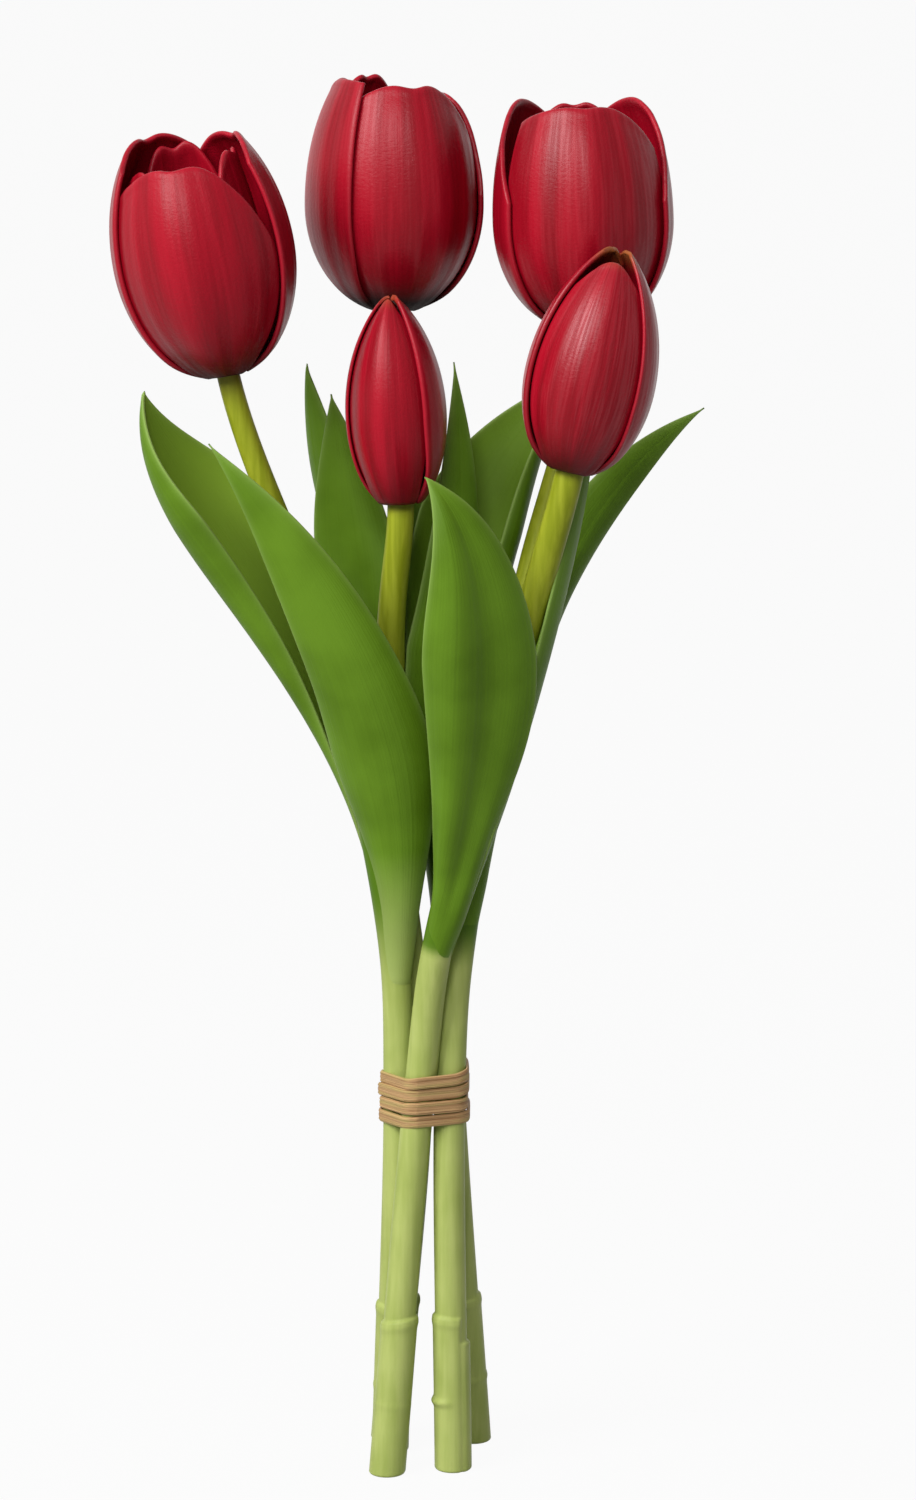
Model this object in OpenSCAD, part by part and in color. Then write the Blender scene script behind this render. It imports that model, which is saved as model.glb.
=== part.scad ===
// A bunch of five artificial tulips, tied with raffia and standing on its cut stems.
// Millimetres, +Z up. The flowers are seen from -Y, with +X to the right.

/* [Bunch] */
// Height at which the five stems are tied together
waist_z = 110; // [100:1:120]
// Radius of the ring on which the stem axes lie at the waist
waist_ring = 8; // [7.9:0.1:9]

/* [Stems] */
// Radius of a stem just above its foot
foot_r = 4.6; // [4:0.1:4.8]
// Radius of a stem at the waist
waist_r = 4.5; // [4:0.1:4.7]
// Radius of the steel wire inside a stem
wire_r = 1; // [0.6:0.1:1.2]
// Height of the moulded collar on a foot
collar_z = 46; // [40:1:60]
// How far the collar stands out from the stem
collar_step = 0.5; // [0.2:0.1:0.8]

/* [Blooms] */
// Radius of the left bloom where it is widest
left_bloom_r = 24.8; // [24:0.1:25.2]
// Radius of the back bloom where it is widest
back_bloom_r = 24.6; // [24:0.1:25]
// Radius of the right bloom where it is widest
right_bloom_r = 25.4; // [24.8:0.1:25.8]
// Depth of the left bloom's rounded base, from its widest place down
left_bloom_low = 35; // [33:0.5:36]
// Depth of the base of the other two blooms
bloom_low = 31; // [30:0.5:32]
// Thickness of a petal
petal_t = 1.2; // [0.8:0.1:1.3]

/* [Buds] */
// Radius of the front bud where it is widest
front_bud_r = 13.8; // [13:0.1:14.2]
// Radius of the side bud where it is widest
side_bud_r = 17.8; // [17:0.1:18.2]
// Depth of a bud's rounded base, from its widest place down
bud_low = 27.5; // [26:0.5:29]
// How sharply a bud draws in to its tip, where 1 is an egg's round end
bud_taper = 1.5; // [1.3:0.1:1.6]

/* [Leaves] */
// Thickness of a leaf
leaf_t = 1; // [0.6:0.1:1.2]
// How deep a leaf's sheath is set into the stem that it wraps
sheath_grip = 0.35; // [0.2:0.05:0.5]

/* [Tie] */
// Width of the raffia strand
raffia_w = 3.5; // [3:0.1:3.6]
// Thickness of the raffia strand
raffia_t = 0.9; // [0.6:0.1:1.2]
// Turns that the strand makes round the stems
raffia_turns = 4; // [3:1:5]

/* [Hidden] */
// Offset from the waist's axis to the middle of the bunch's bounding box
centre = [1.92, 7.5];

// Flowers, in the order of every list below
left = 0;
back = 1;
right = 2;
front = 3;
side = 4;

// Where each stem stands, and its place round the waist in degrees
FEET = [[-5, 8, 0], [19.5, 17.5, 0], [13.5, -9, 0], [-5.5, 19.5, 0], [-5.5, -13, 0]];
WAIST_TURN = [-178, 38, -34, 110, -106];
// Two places that each stem bends through above the waist
LOW_BEND = [[-5.5, -3, 167], [10, 14, 172], [17.5, 0, 166], [-2, 6.5, 178], [12, -14, 169]];
HIGH_BEND = [[-23, -6, 243], [-11, 24, 262], [34, 12, 252], [-4, -4, 242], [37, -22, 259]];
// Lowest point of each flower, how far its axis leans in X and Y, and its turn about that axis
FLOWER_BASE = [[-49.2, -8, 318], [-3.4, 26, 333], [51.2, 18, 329], [-1, -8, 282], [46, -26, 293]];
FLOWER_LEAN = [[-0.185, -0.05], [0, -0.02], [-0.035, -0.04], [-0.05, -0.03], [0.22, -0.03]];
FLOWER_TURN = [-8, 27, 4, -16, -10];
// Stem radius under each flower, and height of the neck's pivot above the flower's lowest point
NECK_R = [3.2, 3.5, 3.6, 3.7, 4];
NECK_UP = [4, 4, 4, 3, 3];

// Room round the ball end of a stem inside a flower's core, and the cone that lets it nod
ball_gap = 0.3;
nod_cone = 26;
// Room round the wire in its bore, and the height at which the wire starts
wire_gap = 0.1;
wire_z = 8;
// Rounding of a cut foot
foot_round = 0.9;
// Radius of a flower where its petals start
root_r = 6.4;
// Half-width of a petal at its root in degrees
root_wide = 58;
// Depth of an inner petal behind the outer ones, and how far lapping edges are set in or out
inner_lay = -4.2;
tuck = 1.3;
// Roll of a leaf round its stem, half of the whole angle
sheath_roll = 80;
// Share of a leaf that keeps the sheath's width, and the half-width at which its tip ends
sheath_part = 0.06;
leaf_tip = 0.6;
// Smallest radius to which a leaf rolls up
curl_r = 1.5;

// Facets: sides of a stem, steps across and along a petal and a leaf, and steps round a turn of raffia.
// A leaf with a side that rolls far round has more steps across.
stem_sides = 10;
wire_sides = 6;
petal_across = 6;
petal_along = 8;
leaf_across = 6;
boat_across = 8;
leaf_along = 12;
raffia_steps = 24;

petal_red = "firebrick";
leaf_green = "olivedrab";
stem_green = "darkkhaki";

FLOWER_NAMES = ["left_bloom", "back_bloom", "right_bloom", "front_bud", "side_bud"];
STEM_NAMES = ["left_stem", "back_stem", "right_stem", "front_stem", "side_stem"];
BLOOMS = [left, back, right];
BUDS = [front, side];
THREE = [1, 2, 3];

NODES = [
    for (f = BLOOMS, i = THREE) str(FLOWER_NAMES[f], "_outer_petal_", i),
    for (f = BLOOMS, i = THREE) str(FLOWER_NAMES[f], "_inner_petal_", i),
    for (f = BUDS, i = THREE) str(FLOWER_NAMES[f], "_petal_", i),
    for (name = FLOWER_NAMES) str(name, "_core"),
    for (f = BLOOMS) str(FLOWER_NAMES[f], "_pistil"),
    for (name = STEM_NAMES) name,
    for (name = STEM_NAMES) str(name, "_wire"),
    for (name = STEM_NAMES, i = [1, 2]) str(name, "_leaf_", i),
    "raffia_wrap",
    "raffia_knot"
];
node = "all";

// Curves and vectors

function lerp(a, b, t) = a + (b - a) * t;
function smooth(t) = let (c = min(max(t, 0), 1)) c * c * (3 - 2 * c);
function unit(v) = v / norm(v);
function steps(count) = [for (i = [0:count]) i / count];
function polar(r, a) = [r * cos(a), r * sin(a), 0];
// Level direction that a leaf's back or a petal faces: 0 is towards -Y, 90 towards +X
function facing(a) = [sin(a), -cos(a), 0];
function without(v, axis) = unit(v - axis * (v * axis));

function bezier(p, t) =
    p[0] * pow(1 - t, 3) + p[1] * 3 * t * pow(1 - t, 2) + p[2] * 3 * t * t * (1 - t) + p[3] * pow(t, 3);
function bezier_heading(p, t) =
    unit((p[1] - p[0]) * pow(1 - t, 2) + (p[2] - p[1]) * 2 * t * (1 - t) + (p[3] - p[2]) * t * t);

// Smooth curve through a list of points whose first and last only set the end directions
function along(p, s) =
    let (i = min(floor(s), len(p) - 4), t = s - i, a = p[i], b = p[i + 1], c = p[i + 2], d = p[i + 3])
    0.5 * (2 * b + (c - a) * t + (2 * a - 5 * b + 4 * c - d) * t * t + (3 * b - a - 3 * c + d) * t * t * t);
function heading(p, s) = unit(along(p, s + 0.01) - along(p, s - 0.01));

// Solids skinned over rings of points

function ring_pairs(rings, closed = false) = [
    for (i = [0:len(rings) - (closed ? 1 : 2)], j = [0:len(rings[0]) - 1])
    let (n = len(rings[0]), k = (j + 1) % n, a = i * n, b = (i + 1) % len(rings) * n)
    each [[a + j, b + j, b + k], [a + j, b + k, a + k]]
];

// Loop: rings of a round section whose last meets its first
module loop_skin(rings) {
    polyhedron([for (ring = rings) each ring], ring_pairs(rings, true));
}

// Rod: rings of a round section with a flat cap at each end
module rod_skin(rings) {
    n = len(rings[0]);
    last = n * (len(rings) - 1);
    caps = [[for (j = [0:n - 1]) j], [for (j = [n - 1:-1:0]) last + j]];
    polyhedron([for (ring = rings) each ring], concat(ring_pairs(rings), caps));
}

// Sheet: each ring goes across the outer face and back across the inner one
module sheet_skin(rings) {
    n = len(rings[0]);
    last = n * (len(rings) - 1);
    half = n / 2 - 1;
    root = [for (j = [0:half - 1]) each [[j, j + 1, n - 2 - j], [j, n - 2 - j, n - 1 - j]]];
    tip = [for (f = root) [for (j = [2, 1, 0]) last + f[j]]];
    polyhedron([for (ring = rings) each ring], concat(ring_pairs(rings), root, tip));
}

function section(middle, axis, r, sides) =
    let (across = unit(cross(axis, [0, 1, 0])), other = cross(axis, across))
    [for (j = [0:sides - 1]) let (a = 360 * j / sides) middle + r * (across * cos(a) + other * sin(a))];

// Flower frames

function flower_axis(f) = unit([FLOWER_LEAN[f].x, FLOWER_LEAN[f].y, 1]);
function flower_right(f) = unit(cross([0, 1, 0], flower_axis(f)));
function flower_away(f) = cross(flower_axis(f), flower_right(f));
function in_flower(f, p) =
    FLOWER_BASE[f] + flower_right(f) * p.x + flower_away(f) * p.y + flower_axis(f) * p.z;
function neck(f) = in_flower(f, [0, 0, NECK_UP[f]]);

module at_flower(f) {
    x = flower_right(f);
    y = flower_away(f);
    z = flower_axis(f);
    b = FLOWER_BASE[f];
    multmatrix([[x.x, y.x, z.x, b.x], [x.y, y.y, z.y, b.y], [x.z, y.z, z.z, b.z], [0, 0, 0, 1]]) children();
}

// Petals

FLOWER_R = [left_bloom_r, back_bloom_r, right_bloom_r, front_bud_r, side_bud_r];
FLOWER_LOW = [left_bloom_low, bloom_low, bloom_low, bud_low, bud_low];
FLOWER_TAPER = [1, 1, 1, bud_taper, bud_taper];
// Angle on a flower's egg-shaped profile where its petals start
function first_angle(f) = asin(root_r / FLOWER_R[f]);

// Point [r, z] of the profile at an angle from its lowest point, moved out by d along the normal.
// Above the widest place it closes on a curve of the given height, and in a bud it draws in to a point.
function egg(f, high, angle, d) =
    let (upper = angle > 90, semi = upper ? high : FLOWER_LOW[f], power = upper ? FLOWER_TAPER[f] : 1,
         slim = FLOWER_R[f] * pow(sin(angle), power - 1),
         outward = unit([semi * sin(angle), -power * slim * cos(angle)]))
    [slim * sin(angle), FLOWER_LOW[f] * cos(first_angle(f)) - semi * cos(angle)] + d * outward;

// A petal is [turn, half-widths in degrees, laps, reach, lay, shoulders, roundness, notch, keel, height
// and end angle of its own profile]. Pairs are for its two sides. A lap is 1 over a neighbour, -1 under it.
under = [-1, -1];
mixed = [-1, 1];
over = [1, 1];
function inner_petal(turn, reach, high, end, wide = 54) =
    [turn, [wide, wide], [0, 0], reach, inner_lay, [0.14, 0.14], 3.4, 0.02, 0.5, high, end];

OUTER_PETALS = [
    [
        [0, [67, 67], under, 0.9, 0, [0.2, 0.4], 2.4, 0.025, 1.6, 40, 146],
        [-120, [67, 62], mixed, 1.03, 0, [0.14, 0.14], 3.4, 0.02, 1, 40, 146],
        [126, [61, 60], over, 0.98, 0, [0.14, 0.14], 3.4, 0.02, 1, 40, 146]
    ],
    [
        [-6, [67, 67], under, 0.965, 0, [0.1, 0.24], 2.6, 0.02, 0.9, 46, 144],
        [-120, [67, 66], mixed, 0.98, 0, [0.16, 0.02], 3, 0.02, 0.8, 46, 144],
        [120, [66, 67], over, 0.92, 0, [0.34, 0.14], 3, 0.02, 0.8, 46, 144]
    ],
    [
        [0, [67, 67], under, 0.94, 0, [0.24, 0.24], 2.2, 0.012, 1.4, 45, 146],
        [-120, [67, 63], mixed, 0.975, 0, [0.14, 0.1], 3, 0, 0.8, 50, 135],
        [120, [63, 67], over, 0.965, 0, [0.1, 0.14], 3, 0, 0.8, 50, 135]
    ]
];
INNER_PETALS = [
    [inner_petal(84, 0.96, 40, 146), inner_petal(204, 1.1, 40, 146), inner_petal(324, 0.92, 40, 146)],
    [inner_petal(75, 0.95, 46, 144), inner_petal(195, 1.03, 46, 144, 50), inner_petal(315, 0.93, 46, 144)],
    [inner_petal(60, 0.93, 45, 144), inner_petal(180, 0.97, 45, 144, 50), inner_petal(300, 0.93, 45, 144)]
];
FRONT_BUD_PETALS = [
    [0, [58, 58], under, 0.95, 0, [0.16, 0.16], 2.4, 0, 0.8, 36, 166],
    [-120, [74, 70], mixed, 1, 0, [0.1, 0.1], 3, 0, 0.5, 36, 166],
    [120, [71, 74], over, 1, 0, [0.1, 0.1], 3, 0, 0.5, 36, 166]
];
SIDE_BUD_PETALS = [
    [0, [62, 58], under, 0.93, 0, [0.16, 0.16], 2.4, 0, 0.8, 38, 166],
    [-120, [74, 62], mixed, 1, 0, [0.1, 0.06], 3, 0, 0.5, 38, 166],
    [120, [76, 74], over, 1, 0, [0.06, 0.1], 3, 0, 0.5, 38, 166]
];

// Place on a petal from its root (0) to the end of its profile (1), at u across and s from root to rim
function petal_v(petal, u, s) =
    s * petal[3] * (1 - petal[5][u < 0 ? 0 : 1] * pow(abs(u), petal[6]) - petal[7] * exp(-pow(u / 0.2, 2)));

// Half-width in degrees at v: narrow at the root, where the three petals meet edge to edge
function petal_wide(full, v) = lerp(min(root_wide, full), full, smooth((v - 0.04) / 0.4));

// Point of a petal at u across (-1 to 1) and s from root to rim, at a depth under its outer face
function petal_point(f, petal, u, s, depth) =
    let (side = u < 0 ? 0 : 1, v = petal_v(petal, u, s),
         lap = tuck * petal[2][side] * smooth((abs(u) - 0.2) / 0.8) * smooth(v / 0.2),
         keel = petal[8] * exp(-pow(u / 0.22, 2)) * sin(180 * min(v, 1)),
         p = egg(f, petal[9], lerp(first_angle(f), petal[10], v), petal[4] + lap + keel - depth))
    in_flower(f, facing(FLOWER_TURN[f] + petal[0] + petal_wide(petal[1][side], v) * u) * p[0] + [0, 0, p[1]]);

module petal(f, shape) {
    across = [for (t = steps(petal_across)) 2 * t - 1];
    rings = [
        for (s = steps(petal_along)) concat(
            [for (u = across) petal_point(f, shape, u, s, 0)],
            [for (i = [petal_across:-1:0]) petal_point(f, shape, across[i], s, petal_t)]
        )
    ];
    color(petal_red) sheet_skin(rings);
}

// Core: the plug that a flower's petals are glued to, with the socket for the stem's ball end
module core(f) {
    ball_r = NECK_R[f] + ball_gap;
    // Both points are below the widest place, where the height of the upper curve has no effect
    foot = egg(f, 1, first_angle(f), -petal_t / 2);
    rim = egg(f, 1, first_angle(f) + 9, -petal_t / 2);
    dome = NECK_UP[f] + ball_r + 2.5;
    color("saddlebrown") at_flower(f) difference() {
        rotate_extrude($fn = 48) polygon([
            [0, foot[1]], foot, rim, [rim[0] - 1, rim[1] + 3.5],
            [rim[0] - 3, dome - 0.5], [2.5, dome], [0, dome]
        ]);
        translate([0, 0, NECK_UP[f]]) sphere(ball_r, $fn = 48);
        translate([0, 0, -1]) cylinder(
            NECK_UP[f] + 1, ball_r + (NECK_UP[f] + 1) * tan(nod_cone), ball_r, $fn = 48
        );
    }
}

// Pistil: a three-sided style with six stamens round it, standing on the core
module pistil(f) {
    foot_z = NECK_UP[f] + NECK_R[f] + ball_gap + 2.5;
    style_h = 16;
    stamen_h = 13;
    color("goldenrod") at_flower(f) translate([0, 0, foot_z - 0.5]) {
        cylinder(style_h, 2.2, 1.7, $fn = 32);
        for (a = [0:120:240]) rotate(a) translate([1.2, 0, style_h - 0.4]) sphere(1.5, $fn = 24);
        cylinder(1.2, 4, 3.4, $fn = 32);
        for (a = [30:60:330]) rotate(a) translate([2.8, 0, 0.6]) rotate([0, 8, 0]) {
            cylinder(stamen_h, 0.5, 0.5, $fn = 16);
            translate([0, 0, stamen_h - 5]) cylinder(6, 0.9, 0.6, $fn = 16);
        }
    }
}

// Stems

function waist_point(f) = polar(waist_ring, WAIST_TURN[f]) + [6, 0, waist_z];
// The first and last points make a stem leave its foot straight and enter its flower on the axis
function stem_path(f) =
    let (foot = FEET[f], waist = waist_point(f), high = HIGH_BEND[f], top = neck(f))
    [2 * foot - waist, foot, waist, LOW_BEND[f], high, top, high + 2 * norm(top - high) * flower_axis(f)];
stem_end = 4;
// Places along a stem, in spans between the points of its path
function stem_s(z) = z / waist_z;
FOOT_STOPS = [foot_round, 19, 20.5, 22, collar_z - 1, collar_z + 0.5, waist_z * 0.7];
UPPER_STOPS = [1, 1.33, 1.67, 2, 2.33, 2.67, 3, 3.25, 3.5, 3.75];
BALL_STOPS = [0, 30, 55];

function collar(z) = z < collar_z ? collar_step : 0;
function foot_ring(z) = abs(z - 20.5) < 0.1 ? 0.35 : 0;
function stem_r(f, s) = s < 1 ? lerp(foot_r, waist_r, s) : lerp(waist_r, NECK_R[f], (s - 1) / (stem_end - 1));
function stem_axis(f, s) = s < 0.05 ? [0, 0, 1] : heading(stem_path(f), s);
function stem_ring(f, s, r, sides = stem_sides) = section(along(stem_path(f), s), stem_axis(f, s), r, sides);

module stem(f) {
    path = stem_path(f);
    axis = flower_axis(f);
    bore_r = wire_r + wire_gap;
    ball = NECK_R[f];
    hole_z = sqrt(ball * ball - bore_r * bore_r);
    foot_edge = foot_r + collar_step - foot_round / 2;
    rings = concat(
        [stem_ring(f, 0, foot_edge)],
        [for (z = FOOT_STOPS) let (s = stem_s(z)) stem_ring(f, s, stem_r(f, s) + collar(z) + foot_ring(z))],
        [for (s = UPPER_STOPS) stem_ring(f, s, stem_r(f, s))],
        [for (a = BALL_STOPS) section(neck(f) + axis * ball * sin(a), axis, ball * cos(a), stem_sides)],
        [section(neck(f) + axis * hole_z, axis, bore_r, stem_sides)],
        [for (i = [len(UPPER_STOPS) - 1:-1:0]) stem_ring(f, UPPER_STOPS[i], bore_r)],
        [stem_ring(f, stem_s(wire_z), bore_r)]
    );
    color(stem_green) rod_skin(rings);
}

module stem_wire(f) {
    stops = concat([stem_s(wire_z)], UPPER_STOPS);
    top = neck(f) + flower_axis(f) * (NECK_R[f] - 0.8);
    rings = concat(
        [for (s = stops) stem_ring(f, s, wire_r, wire_sides)],
        [section(top, flower_axis(f), wire_r, wire_sides)]
    );
    color("silver") rod_skin(rings);
}

// Leaves: [stem, height of the sheath, way its back faces there, two bends, tip, way its back faces
// at the tip, lift of that way, half-width, where it is widest, taper, rolls of its two sides at the
// middle, rolls at the tip]
LEAVES = [
    [left, 140, -10, [2, -14, 200], [-13, -34, 252], [-54, -24, 300], -12, 0,
        17, 0.42, 1.6, [50, 50], [35, 35]],
    [left, 140, 170, [-3, 5, 229], [-79, 0, 269], [-73, -6, 313], -128, 0.6,
        23, 0.72, 1.4, [30, 170], [40, 90]],
    [back, 198, -140, [-9, 33, 215], [-26, 46, 262], [-29, 42, 316], -40, 0,
        14, 0.55, 2, [60, 60], [50, 50]],
    [back, 150, 165, [15, 28, 188], [10, 54, 240], [-2, 60, 290], 170, 0,
        14, 0.55, 2, [55, 55], [40, 40]],
    [right, 158, 15, [25, 0, 212], [39, 4, 279], [85, 14, 306], 15, 0,
        9, 0.6, 1.8, [60, 60], [30, 30]],
    [right, 158, 180, [17, 19, 199], [10, 28, 263], [49, 31, 314], 160, 0.4,
        23.5, 0.72, 1.5, [140, 35], [130, 35]],
    [front, 172, -135, [-10, 12, 209], [-16, 11.5, 264], [-21, 14, 310], 0, 0,
        12, 0.6, 1.6, [10, 35], [20, 30]],
    [front, 172, 45, [14, -4, 205], [19, 4, 268], [14, 10, 319.5], 20, 0,
        15, 0.5, 1, [20, 55], [30, 30]],
    [side, 154, -20, [21, -24, 196], [33, -54, 268], [6, -40, 293], 10, 0,
        18.2, 0.56, 1.5, [60, 60], [30, 30]],
    [side, 154, 150, [24, -12, 195], [51, -16, 258], [53, -9, 302], 80, 0,
        15, 0.55, 2, [70, 70], [45, 45]]
];

function leaf_s(leaf) =
    let (z = leaf[1], low = LOW_BEND[leaf[0]].z, high = HIGH_BEND[leaf[0]].z)
    z < low ? 1 + (z - waist_z) / (low - waist_z) : 2 + (z - low) / (high - low);
function sheath_r(leaf) = stem_r(leaf[0], leaf_s(leaf)) + leaf_t - sheath_grip;
function leaf_root(leaf) = along(stem_path(leaf[0]), leaf_s(leaf)) + facing(leaf[2]) * sheath_r(leaf);
function leaf_half(leaf, v) =
    let (sheath = sheath_r(leaf) * sheath_roll * PI / 180, widest = leaf[9])
    v < widest ? lerp(sheath, leaf[8], smooth((v - sheath_part) / (widest - sheath_part)))
        : max(leaf[8] * (1 - pow((v - widest) / (1 - widest), leaf[10])), leaf_tip);
function leaf_roll(leaf, side, v) =
    v < 0.5 ? lerp(sheath_roll, leaf[11][side], smooth(2 * v))
        : lerp(leaf[11][side], leaf[12][side], smooth(2 * v - 1));

// Place in a leaf's section at v from sheath to tip and u across, from its midrib: [across, inward]
function leaf_place(leaf, v, u, depth) =
    let (half = leaf_half(leaf, v), roll = leaf_roll(leaf, u < 0 ? 0 : 1, v) * PI / 180,
         r = max(half / roll, curl_r), a = u * half / r * 180 / PI)
    [(r - depth) * sin(a), r - (r - depth) * cos(a)];

// Ring of a leaf: a sheet rolled about its midrib, outer face then inner
function leaf_ring(leaf, v) =
    let (p = [leaf_root(leaf), leaf[3], leaf[4], leaf[5]],
         axis = bezier_heading(p, v),
         inward = without(lerp(-facing(leaf[2]), [0, 0, leaf[7]] - facing(leaf[6]), v), axis),
         across = cross(inward, axis))
    [for (depth = [0, leaf_t], t = steps(max(leaf[11]) > 100 ? boat_across : leaf_across))
        let (place = leaf_place(leaf, v, depth == 0 ? 2 * t - 1 : 1 - 2 * t, depth))
        bezier(p, v) + across * place[0] + inward * place[1]];

module leaf(shape) {
    color(leaf_green) sheet_skin([for (v = steps(leaf_along)) leaf_ring(shape, v)]);
}

// Tie

// Point of the strand's path at an angle: round each stem on an arc, straight to the next one
WAIST_ORDER = [side, right, back, front, left];
arc_part = 0.66;
function round_waist(i) = waist_point(WAIST_ORDER[(i % 5 + 5) % 5]);
function wound(angle, out) =
    let (share = (angle - WAIST_TURN[side]) / 72 + 0.5, i = floor(share), t = share - i,
         move = smooth((t - arc_part) / (1 - arc_part)))
    lerp(round_waist(i), round_waist(i + 1), move) + polar(waist_r + out, angle);

module raffia_wrap() {
    count = raffia_turns * raffia_steps;
    pitch = raffia_w + 0.3;
    lowest = -pitch * raffia_turns / 2;
    start = 86;
    rings = [
        for (i = [0:count])
        let (turn = i / raffia_steps, angle = start + 360 * turn,
             z = [0, 0, lowest + pitch * turn], h = [0, 0, raffia_w / 2],
             outer = wound(angle, raffia_t - 0.1) + z, inner = wound(angle, -0.1) + z)
        [outer + h, outer - h, inner - h, inner + h]
    ];
    color("tan") rod_skin(rings);
}

// Knot: a strand drawn up in three crossing loops behind the turns, with its ends tucked under them
module raffia_knot() {
    spot = wound(74, raffia_t + 1.3);
    strand = 0.75;
    size = 1.5;
    depth = 0.9;
    color("tan") loop_skin([
        for (a = [0:12:348])
        let (place = [sin(a) + 2 * sin(2 * a), depth * sin(3 * a), cos(a) - 2 * cos(2 * a)],
             axis = [cos(a) + 4 * cos(2 * a), 3 * depth * cos(3 * a), 4 * sin(2 * a) - sin(a)])
        section(spot + size * place, unit(axis), strand, 6)
    ]);
}

// Drawing

function chosen(name) = node == "all" || node == name;

translate([-centre.x, -centre.y, 0]) {
    for (f = BLOOMS, i = THREE) {
        if (chosen(str(FLOWER_NAMES[f], "_outer_petal_", i))) petal(f, OUTER_PETALS[f][i - 1]);
        if (chosen(str(FLOWER_NAMES[f], "_inner_petal_", i))) petal(f, INNER_PETALS[f][i - 1]);
    }
    for (i = THREE) {
        if (chosen(str(FLOWER_NAMES[front], "_petal_", i))) petal(front, FRONT_BUD_PETALS[i - 1]);
        if (chosen(str(FLOWER_NAMES[side], "_petal_", i))) petal(side, SIDE_BUD_PETALS[i - 1]);
    }
    for (f = [left:side]) {
        if (chosen(str(FLOWER_NAMES[f], "_core"))) core(f);
        if (chosen(STEM_NAMES[f])) stem(f);
        if (chosen(str(STEM_NAMES[f], "_wire"))) stem_wire(f);
        for (i = [1, 2]) if (chosen(str(STEM_NAMES[f], "_leaf_", i))) leaf(LEAVES[2 * f + i - 1]);
    }
    for (f = BLOOMS) if (chosen(str(FLOWER_NAMES[f], "_pistil"))) pistil(f);
    if (chosen("raffia_wrap")) raffia_wrap();
    if (chosen("raffia_knot")) raffia_knot();
}
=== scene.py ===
# %% [markdown]
# # A bunch of five artificial tulips
# Three open blooms and two closed buds stand on five moulded stems, which a strand of raffia ties at the
# waist. Every petal, leaf and stem here is a surface: a formula of two parameters, worked out for a whole
# grid of points at once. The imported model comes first, because it fixes where everything is.

# %% The fixed frame
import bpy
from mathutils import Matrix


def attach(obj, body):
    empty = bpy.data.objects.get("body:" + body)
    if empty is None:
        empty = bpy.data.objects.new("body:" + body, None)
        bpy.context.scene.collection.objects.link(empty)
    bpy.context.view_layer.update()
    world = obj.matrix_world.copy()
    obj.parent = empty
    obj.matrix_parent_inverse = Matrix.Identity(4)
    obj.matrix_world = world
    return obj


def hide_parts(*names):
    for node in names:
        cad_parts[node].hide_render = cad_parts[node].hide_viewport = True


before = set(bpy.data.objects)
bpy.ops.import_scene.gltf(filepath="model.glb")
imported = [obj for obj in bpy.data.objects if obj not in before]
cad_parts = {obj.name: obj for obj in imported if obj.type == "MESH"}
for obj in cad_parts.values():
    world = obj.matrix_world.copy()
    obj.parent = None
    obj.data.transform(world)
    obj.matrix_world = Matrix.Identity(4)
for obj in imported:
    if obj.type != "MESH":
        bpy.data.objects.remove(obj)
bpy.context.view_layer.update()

from collections import namedtuple

import bpy
import numpy as np
from mathutils import Vector

# %% [markdown]
# ## Units and small tools
# The flowers were laid out in millimetres round the axis of the waist. The model's own origin is in the
# middle of its box, a few millimetres away. So the tables below keep their round numbers in millimetres,
# and one function takes finished points to the frame in metres. The rest are curves to mix shapes from.

# %% Units and small tools
MM = 0.001
BOX_MIDDLE = np.array([1.92, 7.5, 0.0])


def to_frame(points):
    """Millimetres from the axis of the waist to metres in the frame."""
    return (points - BOX_MIDDLE) * MM


def lerp(a, b, t):
    """A straight mix: a at t = 0, b at t = 1."""
    return a + (b - a) * t


def ramp(x, start, end):
    """An S-curve from 0 at start to 1 at end: 3 t squared less 2 t cubed, held at both ends."""
    t = np.clip((x - start) / (end - start), 0.0, 1.0)
    return t * t * (3.0 - 2.0 * t)


def bump(x, width):
    """A bell curve of height 1 at x = 0."""
    return np.exp(-np.square(x / width))


def soft_min(a, b):
    """The lesser of two lengths, rounded where they cross: the sum of inverse fourth powers, undone again."""
    a, b = np.clip(a, 1e-6, None), np.clip(b, 1e-6, None)
    return (a**-4.0 + b**-4.0) ** -0.25


def by_side(u, pair):
    """The first of two values where u is negative, the second elsewhere."""
    return np.where(u < 0, *pair)


def unit(v):
    """Vectors scaled to a length of 1."""
    return v / np.linalg.norm(v, axis=-1, keepdims=True)


def column(values):
    """A list of numbers as a column, to multiply a list of vectors."""
    return np.asarray(values, float)[..., None]


def facing(degrees):
    """A level direction: 0 is towards the viewer at -Y, 90 is towards +X."""
    a = np.radians(degrees)
    return np.stack([np.sin(a), -np.cos(a), np.zeros_like(a)], -1)


print("one unit of the tables is", MM, "m")

# %% [markdown]
# ## From grids to meshes
# A petal is a thin closed sheet. One could model a plane and give it thickness with a Solidify modifier,
# but that leaves a square rim. Here the outer and the inner face are two grids that share their border
# points, and the faces run together there on a half circle, so the rim is round and the mesh is closed. A
# stem or a strand is a tube: rings of points, with the last point of a ring joined to its first.

# %% From grids to meshes
def quads(index):
    """Four-sided faces over a grid of point numbers, row by row."""
    corners = [index[:-1, :-1], index[:-1, 1:], index[1:, 1:], index[1:, :-1]]
    return np.stack(corners, -1).reshape(-1, 4)


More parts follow.
